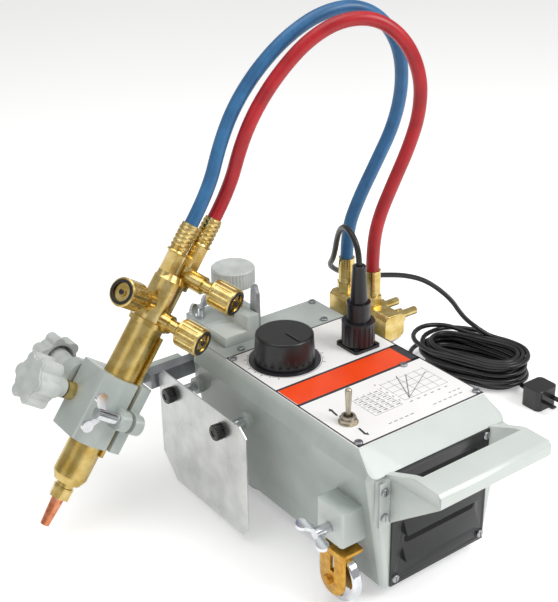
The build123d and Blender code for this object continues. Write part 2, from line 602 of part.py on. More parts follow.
for y in (FRONT_AXLE_Y, REAR_AXLE_Y):
    for side in (-1, 1):
        bushes.append(rod((side * 33 - 4, y, WHEEL_R), (1, 0, 0), AXLE_R + 2, 8, AXLE_R + RUN))
save("bearing_bushes", *bushes)
up = Plane(origin=(CROSS_X, CROSS_Y, BAR_Z - BAR / 2))
cross_pinion = gear(up, CROSS_TEETH, BAR, pi / 2)
cross_pinion += rod((CROSS_X, CROSS_Y, BAR_Z + BAR / 2), (0, 0, 1), 4.5, 82)
save("crossfeed_pinion", cross_pinion)
KNOB_FOOT = 180.0
hand = rod((CROSS_X, CROSS_Y, KNOB_FOOT + 4), (0, 0, 1), 21, 18)
hand = chamfer(hand.edges(), 1.2)
for n in range(40):
    angle = 2 * pi * n / 40
    hand -= rod((CROSS_X + 21.7 * cos(angle), CROSS_Y + 21.7 * sin(angle), KNOB_FOOT + 6), (0, 0, 1), 1.2, 14)
hand += rod((CROSS_X, CROSS_Y, KNOB_FOOT - 8), (0, 0, 1), 7.5, 14)
hand -= rod((CROSS_X, CROSS_Y, KNOB_FOOT - 9), (0, 0, 1), 4.5, BAR_Z + BAR / 2 + 82 - KNOB_FOOT + 9)
save("crossfeed_knob", hand)

lever_plane = Plane(origin=(-20.6, 213, 158), x_dir=(0, 1, 0), z_dir=(1, 0, 0))
clutch = prism(lever_plane, [(-6, -6), (6, -6), (6, 8), (4, 34), (1, 37), (-2, 37), (-5, 30)], 4)
clutch += rod((-24.5, 213, 158), (1, 0, 0), 3, 10)
save("clutch_lever", clutch)
save("bar_wing_nut", wing_screw((-50, BAR_Y, 153.4), (0, 0, 1), (0.9, 0.436, 0), 5, 3, 40, 10, 0.9))

profile = [(BAR_END, BAR_FACE), (BAR_END, BAR_FACE + BAR), (BAR_TAIL, BAR_FACE + BAR), (BAR_TAIL, BAR_FACE)]
first = CROSS_X + pi * MODULE / 2 - 13 * pi * MODULE
teeth = [(x, 2 * BAR_FACE - y) for x, y in rack_edge(-60, 104, BAR_FACE, first)]
profile += [(x, y) for x, y in reversed(teeth)]
bar = prism(Plane(origin=(0, 0, BAR_Z - BAR / 2)), profile, BAR)
for x in (-100, -80):
    bar -= rod((x, BAR_FACE + BAR + 1, BAR_Z), (0, -1, 0), 2.5, 11)
save("cross_bar", bar)

# ---------------------------------------------------------------- bevel arm
u_dir, w_dir = TORCH.x_dir, TORCH.z_dir
PIVOT = Vector(*TIP) + u_dir * PIVOT_U + w_dir * PIVOT_W
ARM_Y = BAR_FACE + BAR
side_on = Plane(origin=(0, ARM_Y + 8, 0), x_dir=(1, 0, 0), z_dir=(0, -1, 0))
arm_outline = [(PIVOT.X - 6, PIVOT.Z - 12.6), (-122, BAR_Z - 7.5), (-68, BAR_Z - 7.5), (-68, BAR_Z + 7.5),
               (-122, BAR_Z + 7.5), (PIVOT.X + 4, PIVOT.Z + 13.4)]
arm = prism(side_on, arm_outline, 8)
arm += rod((PIVOT.X, TIP[1] + CLAMP_BACK + 0.4, PIVOT.Z), (0, 1, 0), 14, ARM_Y + 8 - TIP[1] - CLAMP_BACK - 0.4)
arm -= rod((PIVOT.X, TIP[1] + CLAMP_BACK, PIVOT.Z), (0, 1, 0), 5 + RUN, 30)
for x in (-100, -80):
    arm -= rod((x, ARM_Y - 1, BAR_Z), (0, 1, 0), 2.5, 12)
save("bevel_arm", arm)
save("arm_screws", *[
    rod((x, ARM_Y - 9, BAR_Z), (0, 1, 0), 2.5, 17) + rod((x, ARM_Y + 8, BAR_Z), (0, 1, 0), 4.2, 5)
    - hexagon((x, ARM_Y + 10.5, BAR_Z), (0, 1, 0), 4, 3) for x in (-100, -80)])

# ---------------------------------------------------------------- torch clamp, drawn in the torch's frame
EAR_V = -26.5
EAR_R = 9.5
clamp = block((-24, -20, CLAMP_LOW), (26, CLAMP_BACK, CLAMP_HIGH))
clamp = fillet(clamp.edges().filter_by(Axis.Z).sort_by(lambda e: e.center().X + e.center().Y)[0], 19)
clamp = fillet(clamp.edges().filter_by(Axis.Z).filter_by(lambda e: e.center().Y > 0 or e.center().X > 20), 5)
for start in (-2, 12.5):
    clamp += rod((start, EAR_V, CLAMP_MID), (1, 0, 0), EAR_R, 10)
    clamp += block((start, EAR_V, CLAMP_MID - EAR_R), (start + 10, -18, CLAMP_MID + EAR_R))
clamp -= rod((0, 0, CLAMP_LOW - 1), (0, 0, 1), BARREL_R + RUN, CLAMP_HIGH - CLAMP_LOW + 2)
clamp -= block((8, -40, CLAMP_LOW - 1), (12.5, -8, CLAMP_HIGH + 1))
clamp -= block((-3.5, 12, CLAMP_LOW - 1), (3.5, 19.2, CLAMP_HIGH + 1))
clamp -= rod((-7, LIFT_V, CLAMP_MID), (1, 0, 0), 6.7, 14)
clamp -= rod((-25, LIFT_V, CLAMP_MID), (1, 0, 0), 4 + RUN, 40)
clamp -= rod((-4, EAR_V, CLAMP_MID), (1, 0, 0), 3 + RUN, 30)
clamp += rod((PIVOT_U, 25, PIVOT_W), (0, 1, 0), 5, 46)
save("torch_clamp", TORCH * clamp)
save("lift_bush", TORCH * rod((-33, LIFT_V, CLAMP_MID), (1, 0, 0), 8.5, 9, 4 + RUN))
lift_gear = gear(Plane(origin=(-5, LIFT_V, CLAMP_MID), x_dir=(0, -1, 0), z_dir=(1, 0, 0)), LIFT_TEETH, 10)
lift = lift_gear + rod((-60, LIFT_V, CLAMP_MID), (1, 0, 0), 4, 55)
lift += rod((5, LIFT_V, CLAMP_MID), (1, 0, 0), 4, 8)
save("lift_pinion", TORCH * lift)
knob_plane = Plane(origin=(-34, LIFT_V, CLAMP_MID), x_dir=(0, 1, 0), z_dir=(-1, 0, 0))
lift_knob = star_knob(knob_plane, 24, 22, 6, 8.5, 17, 4)
save("lift_knob", TORCH * lift_knob)
bevel_plane = Plane(origin=(PIVOT_U, 50, PIVOT_W), x_dir=(1, 0, 0), z_dir=(0, 1, 0))
save("bevel_knob", TORCH * star_knob(bevel_plane, 21.5, 20, 6, 8.5, 24, 5 + RUN, 12))
save("clamp_wing_screw", TORCH * wing_screw(
    (-2.4, EAR_V, CLAMP_MID), (-1, 0, 0), (0, 0, 1), 5.5, 3, 24, 23, 1.1))

# ---------------------------------------------------------------- torch, drawn in its own frame
nozzle = cone((0, 0, 0), (0, 0, 1), 4.2, 5.8, 28) + rod((0, 0, 28), (0, 0, 1), 4.5, 14)
nozzle -= rod((0, 0, -1), (0, 0, 1), 0.9, 44)
save("nozzle", TORCH * nozzle)
nut = hexagon((0, 0, 28), (0, 0, 1), 17, 9, 4.5) + rod((0, 0, 37), (0, 0, 1), 9.5, 2, 4.5)
nut += rod((0, 0, 39), (0, 0, 1), 8, 5, 4.5)
save("nozzle_nut", TORCH * nut)
barrel = cone((0, 0, BARREL_FOOT), (0, 0, 1), 12.5, BARREL_R, 7)
barrel += rod((0, 0, BARREL_FOOT + 7), (0, 0, 1), BARREL_R, BARREL_TOP - BARREL_FOOT - 7)
barrel -= rod((0, 0, BARREL_FOOT + 6), (0, 0, 1), 13.0, BARREL_TOP - BARREL_FOOT - 5)
barrel -= block((-3, 14.9, 60), (3, 17, 196))
barrel += block((8.7, -16.4, 78), (11.8, -10, 198))
rack_first = CLAMP_MID - 17 * pi * MODULE - pi * MODULE / 2
rack = [(60, 14.9), (60, RACK_PITCH_LINE - 1.25)]
rack += rack_edge(60, 196, RACK_PITCH_LINE + 1, rack_first)
rack += [(196, RACK_PITCH_LINE - 1.25), (196, 14.9)]
rack_plane = Plane(origin=(-3, 0, 0), x_dir=(0, 0, 1), z_dir=(-1, 0, 0))
rack_solid = extrude(rack_plane * make_face(Polyline(*rack, close=True)), -6)
save("torch_barrel", TORCH * barrel, TORCH * rack_solid)
tubes = []
for n in range(3):
    angle = 2 * pi * n / 3 + pi / 2
    tubes.append(rod((6.5 * cos(angle), 6.5 * sin(angle), BARREL_FOOT + 6), (0, 0, 1), 3.5,
                     BARREL_TOP - BARREL_FOOT - 6, 2.4))
save("torch_tubes", *[TORCH * tube for tube in tubes])

VALVES = [
    ("preheat_oxygen_valve", 223.6, (-cos(radians(19)), -sin(radians(19)), 0)),
    ("fuel_valve", 257.0, (cos(radians(66)), -sin(radians(66)), 0)),
    ("cutting_oxygen_valve", 213.0, (cos(radians(66)), -sin(radians(66)), 0)),
]
VALVE_NECK = 34.0
head = rod((0, 0, BARREL_TOP), (0, 0, 1), 18.5, 5) + rod((0, 0, BARREL_TOP + 5), (0, 0, 1), 15, 40)
head += cone((0, 0, BARREL_TOP + 45), (0, 0, 1), 15, 11, 6)
head += rod((OXY_U, 0, 235), (0, 0, 1), 8, 19)
head += rod((FUEL_U, 0, 244), (0, 0, 1), 8, 22)
head += rod((OXY_U, 0, 243), (1, 0, 0), 7, FUEL_U - OXY_U)
for name, w, (du, dv, dw) in VALVES:
    foot = FUEL_U if name == "fuel_valve" else 0
    head += rod((foot, 0, w), (du, dv, 0), 8.5, 22) + rod((foot, 0, w), (du, dv, 0), 6, VALVE_NECK - 0.4)
    head -= rod((foot + 20 * du, 20 * dv, w), (du, dv, 0), 3 + RUN, 20)
save("valve_block", TORCH * head)
torch_unions = []
for u, foot, nut_length, top in ((OXY_U, 254, 18, OXY_TOP), (FUEL_U, 266, 21, FUEL_TOP)):
    torch_unions.append(hexagon((u, 0, foot), (0, 0, 1), 15, nut_length))
    torch_unions.append(rod((u, 0, foot + nut_length), (0, 0, 1), 8, top - foot - nut_length))
save("torch_unions", *[TORCH * union for union in torch_unions])
for name, w, (du, dv, dw) in VALVES:
    foot = FUEL_U if name == "fuel_valve" else 0
    plane = Plane(origin=(foot + VALVE_NECK * du, VALVE_NECK * dv, w), x_dir=(0, 0, 1), z_dir=(du, dv, 0))
    grip = fluted_knob(plane, 13.0, 24, 12, 3, 10)
    grip += rod((foot + 22 * du, 22 * dv, w), (du, dv, 0), 3, 24)
    save(name, TORCH * grip)

# ---------------------------------------------------------------- screws shared by the casing
screws = []
for places, inward, length in ((PANEL_SCREWS + DECK_SCREWS, (0, 0, -1), 7), (VENT_SCREWS, (0, 1, 0), 7),
                               (HANDLE_SCREWS, (0, 1, 0), 9), (HOUSING_SCREWS, (0, -1, 0), 8),
                               (BASE_SCREWS, (0, 0, 1), 6), (BRACKET_SCREWS, (-1, 0, 0), 12)):
    screws += [pan_screw(place, inward, length) for place in places]
save("case_screws", *screws)

# ---------------------------------------------------------------- hoses, cable, coil and plug
def torch_point(u, v, w):
    """A point of the torch's frame in the layout frame."""
    return tuple(Vector(*TIP) + u_dir * u + Vector(0, 1, 0) * v + w_dir * w)


fuel_start = torch_point(FUEL_U, 0, FUEL_TOP)
oxygen_start = torch_point(OXY_U, 0, OXY_TOP)
FUEL_ROUTE = [fuel_start, torch_point(FUEL_U, 0, FUEL_TOP + 30), (-24, 220, 332), (-10, 214, 364),
              (10, 206, 394), (34, 196, 420), (62, 185, 435), (92, 173, 434), (117, 163, 413),
              (131, 157, 380), (131, 157, 345),
              (122, 161, 312), (109, 166, 280), (97, 171, 248), (MANIFOLD_X, FUEL_Y, 220),
              (MANIFOLD_X, FUEL_Y, UNION_TOP)]
OXYGEN_ROUTE = [oxygen_start, torch_point(OXY_U, 0, OXY_TOP + 34), (-39, 232, 331), (-24, 229, 364),
                (-2, 223, 395), (26, 216, 421), (58, 209, 438), (93, 202, 441), (122, 197, 424),
                (140, 195, 394), (145, 197, 358),
                (139, 201, 322), (123, 206, 288), (104, 210, 252), (MANIFOLD_X, OXY_Y, 222),
                (MANIFOLD_X, OXY_Y, UNION_TOP)]
save("fuel_hose", cord_tube("fuel_hose", FUEL_ROUTE, HOSE_R))
save("oxygen_hose", cord_tube("oxygen_hose", OXYGEN_ROUTE, HOSE_R))

BOOT_TOP = PANEL_TOP + 81.4
CABLE_ROUTE = [(SOCKET[0], SOCKET[1], BOOT_TOP), (41, 134, 238), (41, 140, 249), (43, 151, 255),
               (47, 163, 253), (52, 175, 244), (59, 187, 230), (66, 198, 214), (73, 210, 198),
               (81, 226, 184), (95, 233, 172), (114, 236, 161), (139, 236, 152), (165, 235, 146),
               (191, 233, 139), (217, 232, 127), (241, 232, 109), (263, 232, 88), (280, 236, 67),
               (292, 236.5, 51), (296, 237, COIL_HEIGHT)]
save("power_cable", cord_tube("power_cable", CABLE_ROUTE, CABLE_R))
hank = extrude(SlotCenterToCenter(2 * COIL_REACH, 2 * COIL_OUTER)
               - SlotCenterToCenter(2 * COIL_REACH, 2 * COIL_INNER), COIL_HEIGHT)
coil = Pos(COIL[0], COIL[1], 0) * Rot(0, 0, COIL_TURN) * fillet(hank.edges().group_by(Axis.Z)[-1], 8)
save("cable_coil", coil)
PLUG = (286.0, 116.0)
plug = Pos(PLUG[0], PLUG[1], 0) * Box(30, 26, 24, align=(Align.CENTER, Align.CENTER, Align.MIN))
plug = fillet(plug.edges().filter_by(Axis.Z), 6)
plug = chamfer(plug.edges().sort_by(Axis.Z)[-1:], 0.5)
for dx in (-8, 8):
    plug += Pos(PLUG[0] + dx, PLUG[1] - 13, 11) * Box(6.3, 32, 1.6)
save("mains_plug", plug)
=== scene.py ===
import json
import math
import bmesh
import bpy
from mathutils import Matrix, Vector


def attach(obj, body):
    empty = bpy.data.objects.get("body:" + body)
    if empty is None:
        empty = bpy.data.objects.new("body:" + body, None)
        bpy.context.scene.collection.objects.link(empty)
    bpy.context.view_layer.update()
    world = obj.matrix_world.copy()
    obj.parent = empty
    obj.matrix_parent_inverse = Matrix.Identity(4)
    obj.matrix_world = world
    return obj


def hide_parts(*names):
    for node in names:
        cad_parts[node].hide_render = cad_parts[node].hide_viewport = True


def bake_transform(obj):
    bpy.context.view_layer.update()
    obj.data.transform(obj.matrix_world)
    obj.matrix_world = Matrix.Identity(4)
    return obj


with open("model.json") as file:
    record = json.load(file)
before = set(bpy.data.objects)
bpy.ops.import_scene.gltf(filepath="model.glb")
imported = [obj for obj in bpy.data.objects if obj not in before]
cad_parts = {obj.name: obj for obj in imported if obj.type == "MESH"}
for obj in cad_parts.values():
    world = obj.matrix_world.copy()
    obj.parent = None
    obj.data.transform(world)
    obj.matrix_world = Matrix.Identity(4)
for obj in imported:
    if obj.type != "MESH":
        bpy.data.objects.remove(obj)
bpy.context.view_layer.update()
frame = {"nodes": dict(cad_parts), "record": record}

# A motor-driven torch carriage: cast casing, printed control panel, cross bar with a bevelling torch,
# gas manifold, hoses, heat shield, guide wheel, mains lead.
# Pieces are shaped in millimetres in the carriage's own layout: X across, Y away from the handle from the
# panel's near edge, Z up from the floor. TO_FRAME brings them to the shared frame in metres.
ORIGIN = Vector((-59.803, 120.75, 0))
TO_FRAME = Matrix.Scale(0.001, 4) @ Matrix.Translation(-ORIGIN)


def spot(x, y, z):
    """A layout point, in millimetres, as a point of the shared frame."""
    return TO_FRAME @ Vector((x, y, z))


def settle():
    """Back to object mode with nothing selected."""
    if bpy.context.object and bpy.context.object.mode != "OBJECT":
        bpy.ops.object.mode_set(mode="OBJECT")
    bpy.ops.object.select_all(action="DESELECT")


settle()

# ------------------------------------------------------------------ camera, floor and light
scene = bpy.context.scene
camera = bpy.data.objects.new("camera", bpy.data.cameras.new("camera"))
scene.collection.objects.link(camera)
camera.location = spot(-562.0, -572.9, 635.3)
camera.rotation_euler = [math.radians(a) for a in (64.874, 0.506, -37.245)]
camera.data.lens = 67.36
camera.data.shift_x = -0.0292
camera.data.shift_y = -0.0157
camera.data.clip_start = 0.05
scene.camera = camera

bpy.ops.mesh.primitive_plane_add(size=14, location=(0, 0, -0.0004))
floor = bpy.context.object
floor.name = "studio_floor"


def soft_light(name, place, aim, size, power, colour=(1, 1, 1)):
    """A square soft box at a place, turned to its aim."""
    lamp = bpy.data.lights.new(name, "AREA")
    lamp.size = size
    lamp.energy = power
    lamp.color = colour
    box = bpy.data.objects.new(name, lamp)
    box.location = place
    box.rotation_euler = (Vector(aim) - Vector(place)).to_track_quat("-Z", "Y").to_euler()
    scene.collection.objects.link(box)


soft_light("key_box", (0.9, -1.3, 1.5), (0, 0, 0.1), 1.0, 24)
soft_light("top_box", (-0.1, 0.2, 1.9), (0, 0, 0), 1.4, 13)
soft_light("side_box", (-1.6, -0.2, 1.1), (0, 0, 0.1), 1.0, 2)
scene.world = bpy.data.worlds.new("studio")
scene.world.use_nodes = True
scene.world.node_tree.nodes["Background"].inputs["Color"].default_value = (1, 1, 1, 1)
scene.world.node_tree.nodes["Background"].inputs["Strength"].default_value = 0.5
scene.view_settings.view_transform = "Standard"


# ------------------------------------------------------------------ finishes
def paint(code):
    """An sRGB hex colour as linear red, green, blue, alpha."""
    parts = [int(code[i:i + 2], 16) / 255 for i in (1, 3, 5)]
    return [c / 12.92 if c <= 0.04045 else ((c + 0.055) / 1.055) ** 2.4 for c in parts] + [1.0]


def add(tree, kind, values=None, links=None, **settings):
    """One node with its settings, socket values and links."""
    n = tree.nodes.new(kind)
    for key, value in settings.items():
        setattr(n, key, value)
    for key, value in (values or {}).items():
        n.inputs[key].default_value = value
    for key, source in (links or {}).items():
        tree.links.new(source, n.inputs[key])
    return n


def per_mm(size):
    """Noise scale for features this many millimetres wide."""
    return 1000.0 / size


def laid_over(tree, colour, code, share):
    """A hex colour that shows over another one, by a share between 0 and 1."""
    mix = add(tree, "ShaderNodeMix", {7: paint(code)}, {"Factor": share, 6: colour}, data_type="RGBA")
    return mix.outputs[2]


def finish(name, light, dark, roughness, metallic=0.0, mottle_mm=30, grain_mm=0.8, grain=0.08, stretch=(1, 1, 1),
           rough_spread=0.08, coat=0.0, spots=None, edge=None):
    """A surface whose colour drifts between two hex colours over mottle_mm, with a grain of grain_mm in its
    relief. stretch draws the grain out along an axis, spots adds a third colour in small patches, and edge
    lets a colour show along worn edges."""
    m = bpy.data.materials.new(name)
    m.use_nodes = True
    t = m.node_tree
    shader = t.nodes["Principled BSDF"]
    where = add(t, "ShaderNodeTexCoord").outputs["Object"]
    drift = add(t, "ShaderNodeTexNoise", {"Scale": per_mm(mottle_mm), "Detail": 6.0}, {"Vector": where})
    ramp = add(t, "ShaderNodeValToRGB", None, {"Fac": drift.outputs["Fac"]})
    ramp.color_ramp.elements[0].position = 0.35
    ramp.color_ramp.elements[1].position = 0.68
    ramp.color_ramp.elements[0].color = paint(dark)
    ramp.color_ramp.elements[1].color = paint(light)
    colour = ramp.outputs["Color"]
    if spots:
        code, size, amount = spots
        patch = add(t, "ShaderNodeTexNoise", {"Scale": per_mm(size), "Detail": 3.0}, {"Vector": where})
        cut = add(t, "ShaderNodeMapRange", {"From Min": 0.60, "From Max": 0.72, "To Max": amount},
                  {"Value": patch.outputs["Fac"]})
        colour = laid_over(t, colour, code, cut.outputs["Result"])
    if edge:
        worn = add(t, "ShaderNodeNewGeometry").outputs["Pointiness"]
        cut = add(t, "ShaderNodeMapRange", {"From Min": 0.53, "From Max": 0.62, "To Max": 0.6}, {"Value": worn})
        colour = laid_over(t, colour, edge, cut.outputs["Result"])
    t.links.new(colour, shader.inputs["Base Color"])
    spread = add(t, "ShaderNodeMapRange", {"To Min": roughness - rough_spread, "To Max": roughness + rough_spread},
                 {"Value": drift.outputs["Fac"]})
    t.links.new(spread.outputs["Result"], shader.inputs["Roughness"])
    drawn = add(t, "ShaderNodeMapping", {"Scale": stretch}, {"Vector": where})
    fine = add(t, "ShaderNodeTexNoise", {"Scale": per_mm(grain_mm), "Detail": 3.0},
               {"Vector": drawn.outputs["Vector"]})
    relief = add(t, "ShaderNodeBump", {"Strength": grain, "Distance": 0.0004}, {"Height": fine.outputs["Fac"]})
    t.links.new(relief.outputs["Normal"], shader.inputs["Normal"])
    shader.inputs["Metallic"].default_value = metallic
    shader.inputs["Coat Weight"].default_value = coat
    return m


# Satin stove enamel on cast aluminium: an even grey-green with the faint orange peel of sprayed paint.
CAST_ENAMEL = finish("satin_enamel_on_cast_aluminium", "#ADB5B1", "#A1A9A5", 0.34, grain_mm=2.2, grain=0.10,
                     coat=0.25, edge="#D8DDD8")
# The same enamel on a thin steel cover.
SHEET_ENAMEL = finish("satin_enamel_on_steel_sheet", "#B4BBB7", "#A9B0AC", 0.34, grain_mm=1.8, grain=0.06,
                      coat=0.25)
# Screen-printed white panel: smooth, a little glossy.
PANEL_WHITE = finish("printed_white_panel", "#F1F0EE", "#E9E8E6", 0.30, mottle_mm=60, grain_mm=1.5, grain=0.03)
BAND_ORANGE = finish("screen_print_orange", "#EE4A12", "#E6420C", 0.38, mottle_mm=25, grain_mm=0.6, grain=0.04)
PRINT_INK = finish("screen_print_dark_ink", "#33373D", "#26292E", 0.45, mottle_mm=12, grain_mm=0.5, grain=0.04)
CHART_INK = finish("screen_print_grey_ink", "#85888C", "#74777B", 0.45, mottle_mm=12, grain_mm=0.5, grain=0.04)
# Powder coat on pressed steel: black with a fine even texture.
POWDER_BLACK = finish("black_powder_coat", "#17181A", "#101113", 0.32, grain_mm=0.9, grain=0.22, edge="#3A3B3E")
# Near-black matte for the vent slots: painted shade, standing in for the shadow inside the louvre openings.
VENT_PAINTED_SHADE = finish("unlit_vent_slot", "#0A0A0B", "#060607", 0.9, grain_mm=1.0, grain=0.0)
# Moulded black phenolic: knobs and connector, a soft sheen.
PHENOLIC = finish("moulded_black_phenolic", "#17171A", "#0F0F11", 0.30, grain_mm=0.7, grain=0.05, edge="#303034")
# Pale grey moulded nylon hand knobs, slightly chalky.
NYLON_GREY = finish("moulded_pale_grey_nylon", "#C6CAC7", "#B2B7B3", 0.50, mottle_mm=14, grain_mm=0.9, grain=0.12,
                    edge="#DADDDA")
# Turned brass: golden, with cloudy tarnish and turning marks.
BRASS = finish("turned_brass", "#DCC78C", "#C0A35A", 0.25, 1.0, mottle_mm=9, grain_mm=0.35, grain=0.05,
               spots=("#A68A45", 6, 0.4))
BARREL_BRASS = finish("drawn_brass_barrel", "#D6BF80", "#B89A50", 0.28, 1.0, mottle_mm=16, grain_mm=0.4,
                      grain=0.06, stretch=(1, 1, 0.12), spots=("#9C7F3C", 9, 0.5))
# Copper cutting tip with the warm tint that heat leaves.
COPPER = finish("heat_tinted_copper", "#E39B78", "#C4704B", 0.30, 1.0, mottle_mm=7, grain_mm=0.4, grain=0.05,
                spots=("#9C4C34", 5, 0.5))
STEEL = finish("machined_steel", "#B9BBBD", "#9B9DA0", 0.32, 1.0, mottle_mm=12, grain_mm=0.3, grain=0.06)
RAW_BAR = finish("bright_drawn_steel", "#A4A6A9", "#8A8C90", 0.34, 1.0, mottle_mm=18, grain_mm=0.5, grain=0.08,
                 stretch=(0.1, 1, 1))
GEAR_STEEL = finish("oiled_gear_steel", "#6E7074", "#4D4F53", 0.38, 1.0, mottle_mm=8, grain_mm=0.4, grain=0.1)
CHROME = finish("bright_chrome_plate", "#E4E6EA", "#D2D5DA", 0.10, 1.0, mottle_mm=10, grain_mm=1.2, grain=0.02,
                rough_spread=0.03)
# Yellow passivated zinc: golden brown with greenish clouds.
ZINC_YELLOW = finish("yellow_passivated_zinc", "#DDB04E", "#B9812B", 0.34, 0.85, mottle_mm=7, grain_mm=0.6,
                     grain=0.08, spots=("#9FA24A", 5, 0.35))
# Rolled stainless sheet: bright, with the long fine scratches of the mill.
STAINLESS = finish("rolled_stainless_sheet", "#D9DAD9", "#C3C5C4", 0.30, 1.0, mottle_mm=22, grain_mm=0.7,
                   grain=0.10, stretch=(1, 0.06, 1))
HOSE_RED = finish("smooth_red_hose_rubber", "#B3141F", "#9A0E18", 0.36, mottle_mm=20, grain_mm=0.6, grain=0.08)
HOSE_BLUE = finish("smooth_blue_hose_rubber", "#2F6C9C", "#245A86", 0.38, mottle_mm=20, grain_mm=0.6, grain=0.08)
PVC_BLACK = finish("black_pvc_lead", "#141415", "#0C0C0D", 0.36, mottle_mm=30, grain_mm=0.5, grain=0.06)
BOARD_GREEN = finish("green_glass_fibre_board", "#1F5A35", "#174A2A", 0.4, mottle_mm=6, grain_mm=0.5, grain=0.05)
# Satin nickel plate on the switch: warm grey.
SWITCH_NICKEL = finish("satin_nickel_switch", "#BDB5A6", "#A89F8E", 0.34, 0.9, mottle_mm=8, grain_mm=0.3,
                       grain=0.04)
FLOOR_WHITE = finish("matt_studio_floor", "#F4F4F3", "#F2F2F1", 0.9, mottle_mm=900, grain_mm=4, grain=0.0)
FLOOR_WHITE.node_tree.nodes["Principled BSDF"].inputs["Emission Color"].default_value = (1, 1, 1, 1)
FLOOR_WHITE.node_tree.nodes["Principled BSDF"].inputs["Emission Strength"].default_value = 0.3
floor.data.materials.append(FLOOR_WHITE)


# ------------------------------------------------------------------ ways of shaping
def facing(origin, along, across=None):
    """A place whose Z points along a direction and whose X lies nearest to across."""
    z = Vector(along).normalized()
    x = Vector(across) if across else (Vector((1, 0, 0)) if abs(z.x) < 0.9 else Vector((0, 1, 0)))
    y = z.cross(x).normalized()
    x = y.cross(z)
    m = Matrix((x, y, z)).transposed().to_4x4()
    m.translation = Vector(origin)
    return m


def turned(name, rings, segments=48, teeth=0, bite=1.0, span=None):
    """A round piece standing on +Z, from rings of (radius, height), foot first. teeth cuts that many flutes
    to bite of the radius between the two heights of span."""
    settle()
    count = teeth * 6 if teeth else segments
    bpy.ops.mesh.primitive_circle_add(vertices=count, radius=rings[0][0], fill_type="NGON")
    piece = bpy.context.object
    piece.name = name
    bpy.ops.object.mode_set(mode="EDIT")
    bpy.ops.mesh.select_all(action="SELECT")
    bpy.ops.transform.translate(value=(0, 0, rings[0][1]))
    for (r0, z0), (r1, z1) in zip(rings, rings[1:]):
        bpy.ops.mesh.extrude_region_move(TRANSFORM_OT_translate={"value": (0, 0, z1 - z0)})
        if abs(r1 - r0) > 1e-6:
            bpy.ops.transform.resize(value=(r1 / r0, r1 / r0, 1), center_override=(0, 0, z1))
    if teeth:
        mesh = bmesh.from_edit_mesh(piece.data)
        for v in mesh.verts:
            if span[0] - 1e-4 <= v.co.z <= span[1] + 1e-4 and v.co.xy.length > 1:
                step = round(math.atan2(v.co.y, v.co.x) / (2 * math.pi) * count) % 6
                if step in (3, 5):
                    v.co.xy *= (1 + bite) / 2
                elif step == 4:
                    v.co.xy *= bite
        bmesh.update_edit_mesh(piece.data)
    settle()
    return piece


def slab(name, low, high):
    """A block between two corners."""
    settle()
    bpy.ops.mesh.primitive_cube_add(size=1)
    piece = bpy.context.object
    piece.name = name
    bpy.ops.object.mode_set(mode="EDIT")
    bpy.ops.mesh.select_all(action="SELECT")
    size = [h - l for l, h in zip(low, high)]
    bpy.ops.transform.resize(value=size)
    bpy.ops.transform.translate(value=[l + s / 2 for l, s in zip(low, size)])
    settle()
    return piece


def outline(name, points, depth):
    """A flat-sided piece: an outline in X and Y raised along Z."""
    settle()
    bpy.ops.mesh.primitive_circle_add(vertices=len(points), radius=1, fill_type="NGON")
    piece = bpy.context.object
    piece.name = name
    bpy.ops.object.mode_set(mode="EDIT")
    mesh = bmesh.from_edit_mesh(piece.data)
    mesh.verts.ensure_lookup_table()
    for v, (x, y) in zip(mesh.verts, points):
        v.co = (x, y, 0)
    bmesh.update_edit_mesh(piece.data)
    bpy.ops.mesh.select_all(action="SELECT")
    bpy.ops.mesh.extrude_region_move(TRANSFORM_OT_translate={"value": (0, 0, depth)})
    settle()
    return piece


def place(piece, matrix):
    """Move a piece's mesh to its place."""
    piece.data.transform(matrix)
    return piece


def eased(piece, edge=0.5, steps=2, tidy=True):
    """Close the mesh, point its faces outwards and take the sharpness off its edges."""
    settle()
    bpy.context.view_layer.objects.active = piece
    piece.select_set(True)
    if tidy:
        bpy.ops.object.mode_set(mode="EDIT")
        bpy.ops.mesh.select_all(action="SELECT")
        bpy.ops.mesh.remove_doubles(threshold=0.001)
        bpy.ops.mesh.normals_make_consistent(inside=False)
        bpy.ops.object.mode_set(mode="OBJECT")
    if edge:
        rounding = piece.modifiers.new("rounding", "BEVEL")
        rounding.width = edge
        rounding.segments = steps
        rounding.limit_method = "ANGLE"
        rounding.angle_limit = math.radians(34)
        bpy.ops.object.modifier_apply(modifier=rounding.name)
    bpy.ops.object.shade_smooth_by_angle(angle=math.radians(38))
    settle()
    return piece


def joined(name, parts):
    """Several shapes as one piece."""
    settle()
    for part in parts:
        part.select_set(True)
    bpy.context.view_layer.objects.active = parts[0]
    if len(parts) > 1:
        bpy.ops.object.join()
    piece = bpy.context.object
    piece.name = name
    settle()
    return piece


def hand_over(piece, body, material, slot, *nodes):
    """Give a shaped piece its finish and its place in the shared frame, and let it move with its body."""
    piece.data.transform(TO_FRAME)
    piece.data.materials.clear()
    piece.data.materials.append(material)
    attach(piece, body)
    if nodes:
        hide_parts(*nodes)
    return piece


def softened_cad(node, edge, steps=2):
    """A CAD node's shape as a new piece, its triangles merged into flat faces and its edges rounded."""
    piece = frame["nodes"][node].copy()
    piece.data = piece.data.copy()
    piece.name = node + "_finished"
    piece.parent = None
    piece.matrix_world = Matrix()
    for key in list(piece.keys()):
        del piece[key]
    scene.collection.objects.link(piece)
    piece.data.transform(TO_FRAME.inverted())
    settle()
    bpy.context.view_layer.objects.active = piece
    piece.select_set(True)
    bpy.ops.object.mode_set(mode="EDIT")
    bpy.ops.mesh.select_all(action="SELECT")
    bpy.ops.mesh.remove_doubles(threshold=0.002)
    bpy.ops.mesh.dissolve_limited(angle_limit=math.radians(1.5))
    bpy.ops.object.mode_set(mode="OBJECT")
    return eased(piece, edge, steps, tidy=False)


